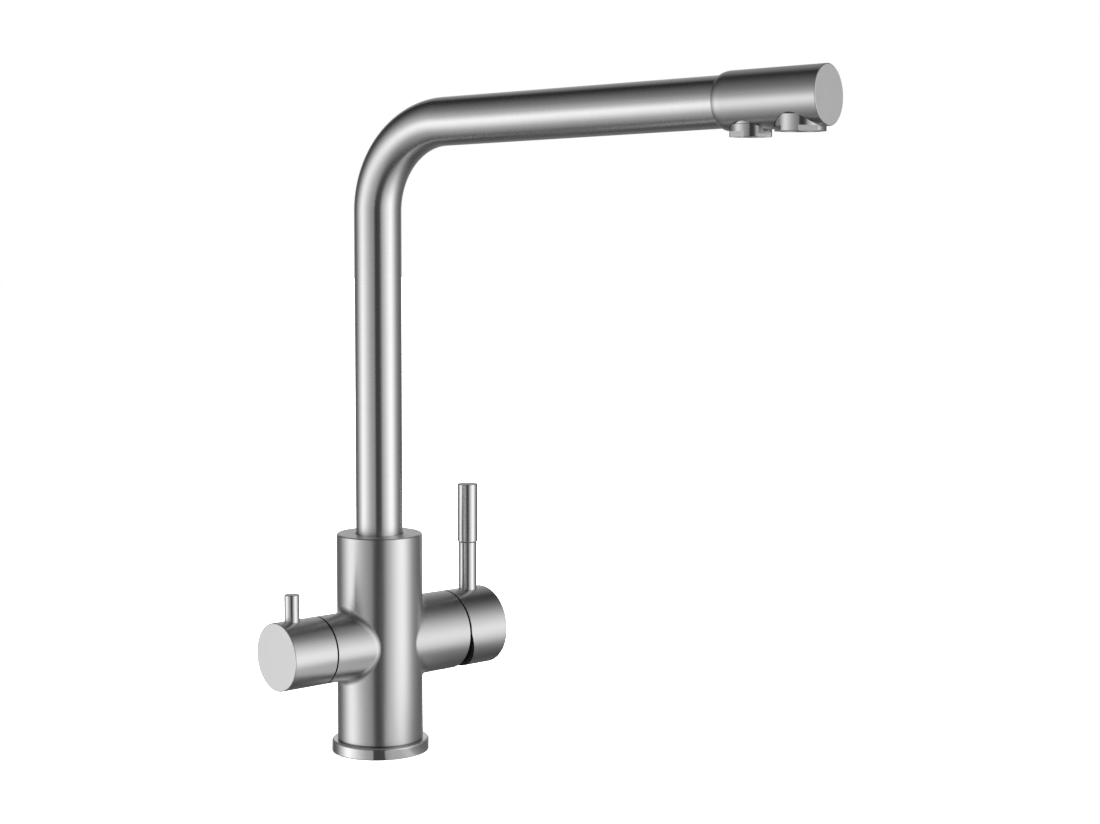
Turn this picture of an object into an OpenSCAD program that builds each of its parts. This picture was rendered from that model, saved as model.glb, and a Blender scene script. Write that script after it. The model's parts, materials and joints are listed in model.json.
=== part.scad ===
// Kitchen mixer tap with a separate drinking water way: column, joystick mixer handle,
// quarter-turn filter handle and a swivel spout whose head has two outlets.
// Millimetres. The origin is on the column's axis at the deck, +Z up, the mixer handle on +X.

/* [Column] */
// Column diameter
column_d = 46; // [45:0.5:52]
// Column top above the deck
column_h = 118; // [114:0.5:140]
// Base ring diameter
base_d = 52; // [51:0.5:60]
// Base ring height
base_h = 6.4; // [5.5:0.1:10]
// Height of the axis that both handles share
handle_z = 59.5; // [56:0.5:62]

/* [Spout] */
// Spout tube outside diameter
tube_d = 25; // [24:0.5:27]
// Spout tube wall
tube_wall = 1.5; // [1.2:0.1:2]
// Height of the arm's axis above the deck, at the column
arm_z = 334.5; // [280:0.5:400]
// Upward slope of the arm, degrees
arm_rise = 2; // [0:0.5:6]
// Bend radius of the tube's centre line
bend_r = 46.5; // [40:0.5:70]
// Reach along the arm, from the column's axis to the head's end
reach = 265; // [230:1:300]
// How far the arm stands from straight ahead at rest, degrees
spout_turn = 13.8; // [0:0.1:40]

/* [Outlet head] */
// Head diameter
head_d = 28.5; // [28:0.5:32]
// Head length outside the tube
head_l = 54.7; // [54:0.1:64]
// Length of the rounded shoulder at the head's rear
shoulder_l = 5.2; // [3:0.1:6]
// Aerator barrel diameter
aerator_d = 24; // [22:0.5:24.5]
// Aerator axis to the head's end, along the arm
aerator_inset = 14.5; // [14:0.5:18]
// Aerator barrel's lower face below the arm's axis
aerator_drop = 15.95; // [15.5:0.05:18]
// Filtered water barrel diameter
pure_d = 20; // [18:0.5:20.5]
// Distance between the two barrels along the arm
pure_step = 26.1; // [25.5:0.1:28]
// Filtered water barrel's lower face below the arm's axis
pure_drop = 17.25; // [16.5:0.05:19]
// Height of the wrench flats on both barrels
flat_h = 2.6; // [2:0.1:3]

/* [Mixer handle] */
// Housing and cap diameter
mixer_d = 43; // [42.5:0.5:45]
// End of the mixer housing, from the column's axis
housing_end = 45.5; // [45:0.5:52]
// Gap between the housing and the cap
cap_gap = 0.9; // [0.6:0.1:1.5]
// Cap length
cap_l = 25.6; // [25:0.1:30]
// Lever axis to the cap's front
rod_inset = 10.8; // [10:0.1:12]
// Lever rod diameter
rod_d = 10; // [9:0.5:11]
// Lever tip above the handle axis
lever_h = 80; // [65:0.5:110]
// Grip sleeve diameter
sleeve_d = 11.2; // [10.6:0.1:13]
// Grip sleeve length
sleeve_l = 32.5; // [25:0.5:40]
// Wedge cut in the cap's lower rim, degrees
wedge = 18; // [17.5:0.5:19]

/* [Filter handle] */
// Stub and knob diameter
knob_d = 36; // [34:0.5:39]
// End of the stub, from the column's axis
stub_end = 40; // [39:0.5:46]
// Gap between the stub and the knob
knob_gap = 0.5; // [0.4:0.1:1]
// Knob length
knob_l = 26.7; // [25:0.1:32]
// Pin axis to the knob's front
pin_inset = 10.2; // [9:0.1:12]
// Pin diameter
pin_d = 8; // [6:0.5:9]
// Pin tip above the handle axis
pin_h = 31.9; // [28:0.1:40]

/* [Connections] */
// Hose thread diameter
hose_d = 10; // [8:1:10]
// Fixing stud thread diameter
stud_d = 8; // [6:1:8]

/* [Fits] */
// Radial clearance of pieces that turn or slide
run_gap = 0.05; // [0.03:0.01:0.08]
// Radial clearance of pieces that are fixed together
fit_gap = 0.02; // [0.01:0.01:0.04]
// Radial gap around the tube and the barrels, seen as a dark line
show_gap = 0.2; // [0.15:0.05:0.3]

/* [Hidden] */
$fn = 96;
eps = 0.01;

// Column and base
column_r = column_d / 2;
ring_wall = 5;
spigot_r = base_d / 2 - ring_wall;
base_seal_t = 1.5;
seal_w = 1.8;
seal_mid = (base_d / 2 + spigot_r) / 2;
block_r = 17;
block_z = 1;
gasket_t = 1;
recess_top = 14;
thread_top = 10;
hose_r = hose_d / 2;
stud_r = stud_d / 2;
hose_at = block_r - hose_r - 1.6;
hot_at = [hose_at * cos(60), hose_at * sin(60)];
cold_at = [hot_at[0], -hot_at[1]];
pure_at = [-hose_at, 0];
stud_at = [0, 0];
way_r = 3;

// Mixer cartridge, along +X from the housing's back wall
pivot_x = housing_end - 9.5;
cart_r = mixer_d / 2 - 4;
cart_bore_r = cart_r + 0.15;
cart_l = 24;
wall_x = pivot_x - cart_l;
seal_t = 1.2;
base_x = wall_x + 5;
disc_x = base_x + 3;
slide_x = disc_x + 4;
ball_arm = 9;
ball_r = 2.5;
ball_gap = 0.08;
carrier_x = pivot_x - ball_arm + 1.5;
rotor_x = slide_x + 0.6;
rotor_end = pivot_x + 6;
neck_r = cart_r - 3.1;
rotor_r = neck_r - 2.4;
carrier_w = rotor_r * 7 / 6;
carrier_h = rotor_r;
shoulder_x = pivot_x - 2.5;
nut_r = cart_r + 1.8;
nut_slot_w = 3;
nut_slot_l = 3;
disc_r = cart_r - 3;
slide_r = disc_r - 3.5;
slide_travel = 2.67;
pocket_w = slide_r + 3;
pocket_low = slide_r - 3.5;
pocket_h = slide_r - 1.7;
pocket_t = 2;
port_at = [cart_r - 11.5, cart_r - 12];
port_r = 2.4;
mix_r = 2.8;
mix_drop = cart_r - 12;
pivot_r = 2;
stem_w = 8;
stem_low = 6.5;
stem_slot_h = 12;
dome_r = cart_r - 0.5;
dome_t = 1.6;

// Mixer cap and lever
cap_rear = housing_end + cap_gap;
cap_end = cap_rear + cap_l;
cap_floor = pivot_x + dome_r + 1.2;
stem_end = cap_end - 6;
rod_x = cap_end - rod_inset;
rod_r = rod_d / 2;
rod_seat = handle_z + mixer_d / 2 - 6;
rod_stud_r = 3;
rod_stud_l = 8;
sleeve_top = handle_z + lever_h;
sleeve_z = sleeve_top - sleeve_l;
core_r = 3.5;

// Filter valve, along -X
stub_r = knob_d / 2;
valve_r = 11;
seat_x = 14.6;
seat_t = 2;
pure_disc_x = seat_x + seat_t;
pure_disc_t = 3;
pure_disc_r = 8.4;
quarter_r = 6.5;
window_w = 7;
window_l = 5;
fork_x = pure_disc_x + 2 * pure_disc_t;
fork_t = 4;
spindle_r = 4;
hex_r = 13.5;
hex_t = 6;
knob_rear = stub_end + knob_gap;
knob_end = knob_rear + knob_l;
knob_floor = stub_end + hex_t + 5;
spindle_end = knob_end - 5.7;
pin_x = knob_end - pin_inset;
pin_r = pin_d / 2;
pin_seat = handle_z + stub_r - 6;
pin_stud_r = 2.5;
pin_stud_l = 5;
screw_r = 2;

// Spout foot, up from the floor of the column's bore
floor_z = handle_z + cart_bore_r + 2.85;
foot_l = 26.3;
seam_z = floor_z + foot_l;
tube_r = tube_d / 2;
tube_in = tube_r - tube_wall;
bore_r = tube_r + 0.45;
pool_r = tube_r - 2;
ledge_z = floor_z + 4;
washer_t = 0.8;
foot_z = ledge_z + washer_t + run_gap;
glide_l = 3;
glide_low = floor_z + 6;
ring_w = 2.4;
ring_low = floor_z + 10.2;
lock_z = floor_z + 15.6;
lock_w = 3.2;
ring_high = floor_z + 18.6;
glide_high = seam_z - glide_l - 1;
foot_top = seam_z + 6;
groove_r = tube_r - 1.5;
glide_in = tube_r - 1;
ring_r = (bore_r - groove_r) / 2 - 0.025;
ring_mid = (bore_r + groove_r) / 2;
riser_r = 4;
riser_in = 2.25;
riser_z = floor_z - 3;
riser_top = floor_z + 17;
line_r = 4;
line_in = 2.5;
line_z = seam_z - 3.3;
foot_port_r = (tube_in - fit_gap - line_r - 2) / 2;
foot_port_at = (tube_in - fit_gap + line_r) / 2;
mix_x = 8;

// Spout bend and arm, in the spout's own frame with the arm over +X
turn = 90 - arm_rise;
tangent = bend_r * tan(turn / 2);
bend_lap = 0.5;
bend_grow = 0.01;
line_drop = 5;
head_at = reach - head_l;
head_r = head_d / 2;
spigot_l = 12;
line_end = head_at - 4;
mix_up = 5.2;
head_way_r = 4;
aerator_at = reach - aerator_inset;
pure_out_at = aerator_at - pure_step;
aerator_r = aerator_d / 2;
aerator_seat = 6.4;
pure_r = pure_d / 2;
pure_seat = 7.4;
outlet_washer_t = 1.6;
barrel_edge = 0.3;
barrel_neck_in = 0.6;
pure_neck = 2.2;

// Cylinder along +X from x0 to x1, on the handle axis unless moved in y and z
module rod_along_x(x0, x1, r, y = 0, z = 0) {
    translate([x0, y, handle_z + z]) rotate([0, 90, 0]) cylinder(h = x1 - x0, r = r);
}

// Upright cylinder from z0 to z1
module post(z0, z1, r, at = [0, 0]) {
    translate([at[0], at[1], z0]) cylinder(h = z1 - z0, r = r);
}

// Upright ring from z0 to z1
module collar(z0, z1, r_in, r_out) {
    difference() {
        post(z0, z1, r_out);
        post(z0 - 1, z1 + 1, r_in);
    }
}

// Cylinder along +X with a small chamfer at both ends
module edged_x(x0, x1, r, c0, c1) {
    translate([x0, 0, handle_z]) rotate([0, 90, 0]) rotate_extrude()
        polygon([[0, 0], [r - c0, 0], [r, c0], [r, x1 - x0 - c1], [r - c1, x1 - x0], [0, x1 - x0]]);
}

// Torus on the axis of its frame
module o_ring(mid, section) {
    rotate_extrude() translate([mid, 0]) circle(r = section, $fn = 48);
}

// The spout's own frame, the arm over +X
module spout_frame() {
    rotate([0, 0, spout_turn - 90]) children();
}

// Along the arm's axis, from the column's axis
module arm_frame() {
    spout_frame() translate([0, 0, arm_z]) rotate([0, -arm_rise, 0]) children();
}

// Upright frame at a distance along the arm, its origin on the arm's axis
module outlet_frame(at) {
    spout_frame() translate([at * cos(arm_rise), 0, arm_z + at * sin(arm_rise)]) children();
}

// Ring profile of a tube
module tube_ring(r_out, r_in) {
    difference() {
        circle(r = r_out);
        circle(r = r_in);
    }
}

// Bent tube from z0 up the column's axis and out along an arm that lies drop below the spout's arm.
// The bend's wall is a hair thicker, and the straight lengths run a little way into it.
module bent_tube(z0, end, r_out, r_in, drop) {
    top = arm_z - drop / cos(arm_rise) - tangent;
    arm_l = end - tangent + drop * tan(arm_rise);
    spout_frame() {
        translate([0, 0, z0]) linear_extrude(top - z0 + bend_lap) tube_ring(r_out, r_in);
        translate([bend_r, 0, top]) rotate([90, 0, 0]) rotate([0, 0, 90 + arm_rise])
            rotate_extrude(angle = turn) translate([bend_r, 0])
                tube_ring(r_out + bend_grow, r_in - bend_grow);
        translate([0, 0, top + tangent]) rotate([0, -arm_rise, 0]) translate([tangent - bend_lap, 0, 0])
            rotate([0, 90, 0]) linear_extrude(arm_l + bend_lap) tube_ring(r_out, r_in);
    }
}

// Hexagonal grid of holes for a flow straightener
module comb(r, pitch, hole_r, h) {
    for (i = [-4 : 4])
        for (j = [-4 : 4])
            if (norm([pitch * (i + j / 2), pitch * j * sqrt(3) / 2]) < r - hole_r)
                translate([pitch * (i + j / 2), pitch * j * sqrt(3) / 2, -1])
                    cylinder(h = h + 2, r = hole_r, $fn = 6);
}

// Four wrench flats to be cut from a barrel's lowest part
module flats(across, from, h, angle) {
    for (k = [0 : 3])
        rotate([0, 0, angle + 90 * k]) translate([across / 2, -across, from - 1])
            cube([across, 2 * across, h + 1]);
}

module base_ring() {
    color("silver") difference() {
        rotate_extrude() polygon([
            [spigot_r + fit_gap, 0], [base_d / 2 - 0.4, 0], [base_d / 2, 0.4], [base_d / 2, base_h - 1.2],
            [base_d / 2 - 0.1, base_h - 0.75], [base_d / 2 - 0.35, base_h - 0.35],
            [base_d / 2 - 0.75, base_h - 0.1], [base_d / 2 - 1.2, base_h], [spigot_r + fit_gap, base_h]
        ]);
        collar(-1, base_seal_t, seal_mid - seal_w / 2, seal_mid + seal_w / 2);
    }
}

module base_seal() {
    color("dimgray")
        collar(0, base_seal_t, seal_mid - seal_w / 2 + fit_gap, seal_mid + seal_w / 2 - fit_gap);
}

module body() {
    color("silver") difference() {
        union() {
            rotate_extrude() polygon([
                [0, block_z], [spigot_r, block_z], [spigot_r, base_h], [column_r - 0.5, base_h],
                [column_r, base_h + 0.5], [column_r, column_h - 0.5], [column_r - 0.5, column_h],
                [0, column_h]
            ]);
            rod_along_x(-stub_end, 0, stub_r);
            rod_along_x(0, housing_end, mixer_d / 2);
        }
        post(block_z - 1, recess_top, block_r);
        post(floor_z, ledge_z + 1, pool_r);
        post(ledge_z, column_h + 1, bore_r);
        translate([0, 0, lock_z]) rotate([-90, 0, 0]) cylinder(h = column_r + 1, r = 2.5);
        // mixer side
        rod_along_x(wall_x, housing_end + 1, cart_bore_r);
        rod_along_x(shoulder_x, housing_end + 1, nut_r);
        for (at = [hot_at, cold_at]) {
            post(recess_top - 1, handle_z + port_at[1], way_r, at);
            rod_along_x(hot_at[0], wall_x + 1, port_r, sign(at[1]) * port_at[0], port_at[1]);
        }
        rod_along_x(mix_x, wall_x + 1, mix_r, 0, -mix_drop);
        post(handle_z - mix_drop, floor_z + 1, mix_r, [mix_x, 0]);
        // filter side
        rod_along_x(-stub_end - 1, -seat_x, valve_r);
        rod_along_x(-seat_x - 12, -seat_x - 5, valve_r + 2);
        post(recess_top - 1, handle_z, way_r, pure_at);
        rod_along_x(-seat_x - 1, pure_at[0], way_r);
        post(handle_z + valve_r, riser_z - 1, riser_in, [-seat_x - 8, 0]);
        rod_along_x(-seat_x - 8, 0, riser_in, 0, riser_z - 1 - riser_in - handle_z);
        post(riser_z - 1 - riser_in, riser_z + 1, riser_in);
        post(riser_z, floor_z + 1, riser_r + fit_gap);
    }
}

// Bore from below with the drill's cone at its end, and a narrower way on through if way is not 0
module threaded_bore(r, way, at) {
    cone_top = thread_top + (r - way) * tan(30);
    translate([at[0], at[1], 0]) rotate_extrude() polygon(concat(
        [[0, block_z - 1], [r, block_z - 1], [r, thread_top], [way, cone_top]],
        way > 0 ? [[way, recess_top], [0, recess_top]] : []
    ));
}

module inlet_block() {
    color("goldenrod") difference() {
        post(block_z, recess_top - gasket_t, block_r - fit_gap);
        for (at = [hot_at, cold_at, pure_at]) threaded_bore(hose_r, way_r, at);
        threaded_bore(stud_r, 0, stud_at);
    }
}

module inlet_gasket() {
    color("dimgray") difference() {
        post(recess_top - gasket_t, recess_top, block_r - fit_gap);
        for (at = [hot_at, cold_at, pure_at]) post(recess_top - 2, recess_top + 1, way_r, at);
    }
}

module filter_riser() {
    color("goldenrod") difference() {
        post(riser_z, riser_top, riser_r);
        post(riser_z - 1, riser_top + 1, riser_in);
        collar(riser_top - 4.5, riser_top - 2.9, riser_r - 1, riser_r + 1);
    }
}

module riser_o_ring() {
    color("dimgray") translate([0, 0, riser_top - 3.7])
        o_ring((2 * riser_r - 1 + run_gap) / 2, (1 + run_gap) / 2 - 0.02);
}

module thrust_washer() {
    color("whitesmoke") collar(ledge_z, ledge_z + washer_t, pool_r + 0.1, bore_r - 0.1);
}

module lock_screw() {
    color("gray") translate([0, 0, lock_z]) rotate([-90, 0, 0]) difference() {
        union() {
            translate([0, 0, groove_r + 0.4]) cylinder(h = 3, r = 1.4);
            translate([0, 0, bore_r + 0.3]) cylinder(h = column_r - bore_r - 2.3, r = 2.5 - fit_gap);
        }
        translate([0, 0, column_r - 4.5]) cylinder(h = 4, r = 1.45, $fn = 6);
    }
}

// Three water ports through a flat cartridge piece
module ports(x0, x1) {
    for (s = [-1, 1]) rod_along_x(x0, x1, port_r, s * port_at[0], port_at[1]);
    rod_along_x(x0, x1, mix_r, 0, -mix_drop);
}

// Outline of the cartridge's gasket, one ring for each port
module gasket_rings(grow, x0, x1) {
    for (s = [-1, 1]) rod_along_x(x0, x1, port_r + 1.6 + grow, s * port_at[0], port_at[1]);
    rod_along_x(x0, x1, mix_r + 1.6 + grow, 0, -mix_drop);
    translate([x0, -port_at[0], handle_z + port_at[1] - 1 - grow])
        cube([x1 - x0, 2 * port_at[0], 2 + 2 * grow]);
    translate([x0, -1 - grow, handle_z - mix_drop]) cube([x1 - x0, 2 + 2 * grow, port_at[1] + mix_drop]);
}

module cartridge_gasket() {
    color("dimgray") difference() {
        gasket_rings(0, wall_x, wall_x + seal_t);
        ports(wall_x - 1, wall_x + seal_t + 1);
    }
}

module cartridge_base() {
    color("whitesmoke") difference() {
        rod_along_x(wall_x, base_x, cart_r);
        gasket_rings(fit_gap, wall_x - 1, wall_x + seal_t);
        ports(wall_x, base_x + 1);
    }
}

module fixed_disc() {
    color("white") difference() {
        rod_along_x(base_x, disc_x, disc_r);
        ports(base_x - 1, disc_x + 1);
    }
}

module moving_disc() {
    color("white") difference() {
        rod_along_x(disc_x, slide_x, slide_r);
        translate([disc_x - 1, -pocket_w / 2, handle_z - pocket_low])
            cube([pocket_t + 1, pocket_w, pocket_h]);
    }
}

module disc_carrier() {
    color("slategray") difference() {
        translate([slide_x, -carrier_w / 2 + run_gap, handle_z - carrier_h / 2])
            cube([carrier_x - slide_x, carrier_w - 2 * run_gap, carrier_h]);
        rod_along_x(pivot_x - ball_arm - ball_r - 0.2, carrier_x + 1, ball_r + ball_gap);
    }
}

module cartridge_housing() {
    color("ghostwhite") difference() {
        union() {
            rod_along_x(base_x, shoulder_x, cart_r);
            rod_along_x(base_x, rotor_end - 0.4, neck_r);
        }
        rod_along_x(base_x - 1, slide_x + 0.4, disc_r + fit_gap + 0.3);
        rod_along_x(base_x - 1, rotor_end + 1, rotor_r + run_gap);
    }
}

module cartridge_nut() {
    color("goldenrod") difference() {
        rod_along_x(shoulder_x, rotor_end - 0.8, nut_r - fit_gap);
        rod_along_x(shoulder_x - 1, rotor_end, neck_r + 0.2);
        for (k = [0 : 3]) translate([rotor_end - nut_slot_l, 0, handle_z]) rotate([90 * k + 45, 0, 0])
            translate([0, -nut_slot_w / 2, neck_r]) cube([nut_slot_l + 1, nut_slot_w, nut_r]);
    }
}

module rotor() {
    color("slategray") difference() {
        rod_along_x(rotor_x, rotor_end, rotor_r);
        translate([rotor_x - 1, -carrier_w / 2, handle_z - carrier_h / 2 - 0.3])
            cube([carrier_x - rotor_x + 1.4, carrier_w, carrier_h + slide_travel + 0.6]);
        translate([rotor_x, -stem_w / 2, handle_z - stem_low]) cube([rotor_end, stem_w, stem_slot_h]);
        translate([pivot_x, -nut_r, handle_z]) rotate([-90, 0, 0]) cylinder(h = 2 * nut_r, r = pivot_r);
    }
}

module pivot_pin() {
    color("gray") translate([pivot_x, -rotor_r + 0.8, handle_z]) rotate([-90, 0, 0])
        cylinder(h = 2 * rotor_r - 1.6, r = pivot_r - fit_gap);
}

module cartridge_dome() {
    color("black") difference() {
        translate([pivot_x, 0, handle_z]) rotate([0, 90, 0]) rotate_extrude() difference() {
            intersection() {
                circle(r = dome_r);
                translate([0, rotor_end - pivot_x]) square(dome_r);
            }
            intersection() {
                circle(r = dome_r - dome_t);
                translate([0, rotor_end - pivot_x + 1.4]) square(dome_r);
            }
        }
        translate([rotor_end - 1, -stem_w / 2 - 0.3, handle_z - 9.6]) cube([dome_r, stem_w + 0.6, 14.4]);
    }
}

module stem() {
    color("gray") difference() {
        union() {
            translate([pivot_x - ball_arm, 0, handle_z]) sphere(r = ball_r);
            rod_along_x(pivot_x - ball_arm, pivot_x, 1.8);
            translate([pivot_x, -stem_w / 2 + 0.1, handle_z]) rotate([-90, 0, 0])
                cylinder(h = stem_w - 0.2, r = 4.5);
            translate([pivot_x, -stem_w / 2 + 0.1, handle_z - stem_w / 2])
                cube([stem_end - pivot_x, stem_w - 0.2, stem_w]);
        }
        translate([pivot_x, -stem_w, handle_z]) rotate([-90, 0, 0])
            cylinder(h = 2 * stem_w, r = pivot_r + run_gap);
    }
}

module mixer_cap() {
    color("silver") difference() {
        edged_x(cap_rear, cap_end, mixer_d / 2, 0.3, 0.5);
        rod_along_x(cap_rear - 1, cap_floor, mixer_d / 2 - 2);
        translate([cap_rear, 0, handle_z + 0.4]) rotate([0, -wedge, 0])
            translate([-mixer_d, -mixer_d, -mixer_d]) cube([mixer_d, 2 * mixer_d, mixer_d]);
        translate([cap_floor - 1, -stem_w / 2 - fit_gap, handle_z - stem_w / 2 - fit_gap])
            cube([stem_end - cap_floor + 1, stem_w + 2 * fit_gap, stem_w + 2 * fit_gap]);
        post(rod_seat, handle_z + mixer_d, rod_r + fit_gap, [rod_x, 0]);
        post(rod_seat - rod_stud_l - 0.3, rod_seat + 1, rod_stud_r + fit_gap, [rod_x, 0]);
        post(handle_z - mixer_d, handle_z, screw_r, [rod_x, 0]);
    }
}

module cap_screw() {
    color("gray") difference() {
        post(handle_z - mixer_d / 2 + 2, handle_z - stem_w / 2, screw_r - fit_gap, [rod_x, 0]);
        translate([rod_x, 0, handle_z - mixer_d / 2 + 1]) cylinder(h = 3, r = 1.15, $fn = 6);
    }
}

module lever_rod() {
    color("silver") {
        post(rod_seat, sleeve_z, rod_r, [rod_x, 0]);
        post(rod_seat - rod_stud_l, rod_seat + 1, rod_stud_r, [rod_x, 0]);
        post(sleeve_z - 1, sleeve_top - 3, core_r, [rod_x, 0]);
    }
}

module lever_sleeve() {
    color("silver") translate([rod_x, 0, sleeve_z]) difference() {
        rotate_extrude() polygon([
            [0, 0], [sleeve_d / 2 - 0.3, 0], [sleeve_d / 2, 0.3], [sleeve_d / 2, sleeve_l - 0.5],
            [sleeve_d / 2 - 0.5, sleeve_l], [0, sleeve_l]
        ]);
        translate([0, 0, -1]) cylinder(h = sleeve_l - 2 + eps, r = core_r + fit_gap);
    }
}

module seat_seal() {
    color("dimgray") difference() {
        rod_along_x(-seat_x - seat_t, -seat_x, valve_r - 0.4);
        rod_along_x(-seat_x - seat_t - 1, -seat_x + 1, way_r + 1);
    }
}

module valve_body() {
    color("goldenrod") difference() {
        union() {
            rod_along_x(-stub_end, -pure_disc_x, valve_r - fit_gap);
            translate([-stub_end - hex_t, 0, handle_z]) rotate([0, 90, 0])
                cylinder(h = hex_t, r = hex_r, $fn = 6);
        }
        rod_along_x(-fork_x - fork_t - run_gap, -pure_disc_x + 1, pure_disc_r + 0.1);
        rod_along_x(-stub_end - hex_t - 1, -pure_disc_x, spindle_r + run_gap);
        translate([-fork_x - fork_t + 0.4, -window_w / 2, handle_z - knob_d / 2])
            cube([window_l, window_w, knob_d]);
    }
}

// Two opposite quarter openings of a valve disc
module quarters(x0, x1, angle, r_out) {
    translate([x0, 0, handle_z]) rotate([angle, 0, 0]) rotate([0, 90, 0])
        for (k = [0, 180]) rotate([0, 0, k - 40]) rotate_extrude(angle = 80)
            translate([2, 0]) square([r_out - 2, x1 - x0]);
}

module valve_fixed_disc() {
    color("white") difference() {
        rod_along_x(-pure_disc_x - pure_disc_t, -pure_disc_x, pure_disc_r);
        quarters(-pure_disc_x - pure_disc_t - 1, -pure_disc_x + 1, 0, quarter_r);
    }
}

module valve_moving_disc() {
    color("white") difference() {
        rod_along_x(-fork_x, -fork_x + pure_disc_t, pure_disc_r - 0.1);
        quarters(-fork_x - 1, -fork_x + pure_disc_t + 1, 90, quarter_r);
    }
}

module valve_spindle() {
    color("goldenrod") difference() {
        union() {
            rod_along_x(-fork_x - fork_t, -fork_x, pure_disc_r - 0.1);
            rod_along_x(-spindle_end, -fork_x - 1, spindle_r);
        }
        quarters(-fork_x - fork_t + 1.2, -fork_x + 1, 90, pure_disc_r + 1);
        difference() {
            rod_along_x(-stub_end - 3.6, -stub_end - 2, spindle_r + 1);
            rod_along_x(-stub_end - 4, -stub_end - 1, spindle_r - 1);
        }
    }
}

module spindle_o_ring() {
    color("dimgray") translate([-stub_end - 2.8, 0, handle_z]) rotate([0, 90, 0])
        o_ring((2 * spindle_r - 1 + run_gap) / 2, (1 + run_gap) / 2 - 0.02);
}

module filter_knob() {
    color("silver") difference() {
        edged_x(-knob_end, -knob_rear, stub_r, 0.5, 0.3);
        rod_along_x(-knob_floor, -knob_rear + 1, hex_r + 1.2);
        rod_along_x(-spindle_end, -knob_floor + 1, spindle_r + fit_gap);
        post(pin_seat, handle_z + knob_d, pin_r + fit_gap, [-pin_x, 0]);
        post(pin_seat - pin_stud_l - 0.3, pin_seat + 1, pin_stud_r + fit_gap, [-pin_x, 0]);
        post(handle_z - knob_d, handle_z, screw_r, [-pin_x, 0]);
    }
}

module knob_screw() {
    color("gray") difference() {
        post(handle_z - stub_r + 2, handle_z - spindle_r, screw_r - fit_gap, [-pin_x, 0]);
        translate([-pin_x, 0, handle_z - stub_r + 1]) cylinder(h = 3, r = 1.15, $fn = 6);
    }
}

module filter_pin() {
    color("silver") translate([-pin_x, 0, 0]) rotate_extrude() polygon([
        [0, pin_seat - pin_stud_l], [pin_stud_r, pin_seat - pin_stud_l], [pin_stud_r, pin_seat],
        [pin_r, pin_seat], [pin_r, handle_z + pin_h - 0.4], [pin_r - 0.4, handle_z + pin_h],
        [0, handle_z + pin_h]
    ]);
}

module spout_tube() {
    color("silver") bent_tube(seam_z, head_at, tube_r, tube_in, 0);
}

module spout_foot() {
    color("goldenrod") spout_frame() difference() {
        union() {
            post(foot_z, seam_z, tube_r);
            post(seam_z - 1, foot_top, tube_in - fit_gap);
        }
        collar(glide_low, glide_low + glide_l, glide_in, tube_r + 1);
        collar(glide_high, glide_high + glide_l, glide_in, tube_r + 1);
        collar(ring_low, ring_low + ring_w, groove_r, tube_r + 1);
        collar(ring_high, ring_high + ring_w, groove_r, tube_r + 1);
        collar(lock_z - lock_w / 2, lock_z + lock_w / 2, groove_r, tube_r + 1);
        post(foot_z - 1, riser_top + 1, riser_r + run_gap);
        post(riser_top, line_z + 1, riser_in);
        post(line_z, foot_top + 1, line_r + fit_gap);
        for (k = [0 : 4])
            rotate([0, 0, 72 * k]) post(foot_z - 1, foot_top + 1, foot_port_r, [foot_port_at, 0]);
    }
}

module lower_glide_ring() {
    color("whitesmoke") collar(glide_low + run_gap, glide_low + glide_l - run_gap, glide_in + fit_gap,
        bore_r - run_gap);
}

module upper_glide_ring() {
    color("whitesmoke") collar(glide_high + run_gap, glide_high + glide_l - run_gap, glide_in + fit_gap,
        bore_r - run_gap);
}

module lower_foot_o_ring() {
    color("dimgray") translate([0, 0, ring_low + ring_w / 2]) o_ring(ring_mid, ring_r);
}

module upper_foot_o_ring() {
    color("dimgray") translate([0, 0, ring_high + ring_w / 2]) o_ring(ring_mid, ring_r);
}

module filter_line() {
    color("white") bent_tube(line_z, line_end, line_r, line_in, line_drop);
}

module outlet_head() {
    color("silver") difference() {
        arm_frame() rotate([0, 90, 0]) rotate_extrude() polygon([
            [0, head_at - spigot_l], [tube_in - fit_gap, head_at - spigot_l], [tube_in - fit_gap, head_at],
            [tube_r, head_at], for (a = [10 : 10 : 80])
                [tube_r + (head_r - tube_r) * sin(a), head_at + shoulder_l * (1 - cos(a))],
            [head_r, head_at + shoulder_l], [head_r, reach - 0.4], [head_r - 0.4, reach], [0, reach]
        ]);
        arm_frame() {
            translate([head_at - 6, 0, 0]) rotate([0, 90, 0]) difference() {
                cylinder(h = 2, r = tube_in);
                translate([0, 0, -1]) cylinder(h = 4, r = tube_in - 1.3);
            }
            translate([head_at - spigot_l - 1, 0, -line_drop]) rotate([0, 90, 0])
                cylinder(h = line_end - head_at + spigot_l + 1, r = line_r + fit_gap);
            translate([line_end - 1, 0, -line_drop]) rotate([0, 90, 0])
                cylinder(h = pure_out_at - line_end, r = line_in);
            translate([head_at - spigot_l - 1, 0, mix_up]) rotate([0, 90, 0])
                cylinder(h = aerator_at - head_at + spigot_l + 1, r = head_way_r);
        }
        outlet_frame(pure_out_at) {
            post(-head_d, -pure_seat, pure_r + show_gap);
            post(-pure_seat - 1, -0.9, pure_r - 2);
        }
        outlet_frame(aerator_at) {
            post(-head_d, -aerator_seat, aerator_r + show_gap);
            post(-aerator_seat - 1, 1, aerator_r - 2);
            post(0, mix_up, head_way_r);
        }
    }
}

module head_o_ring() {
    color("dimgray") arm_frame() translate([head_at - 5, 0, 0]) rotate([0, 90, 0])
        o_ring(tube_in - 0.65, 0.63);
}

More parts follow.
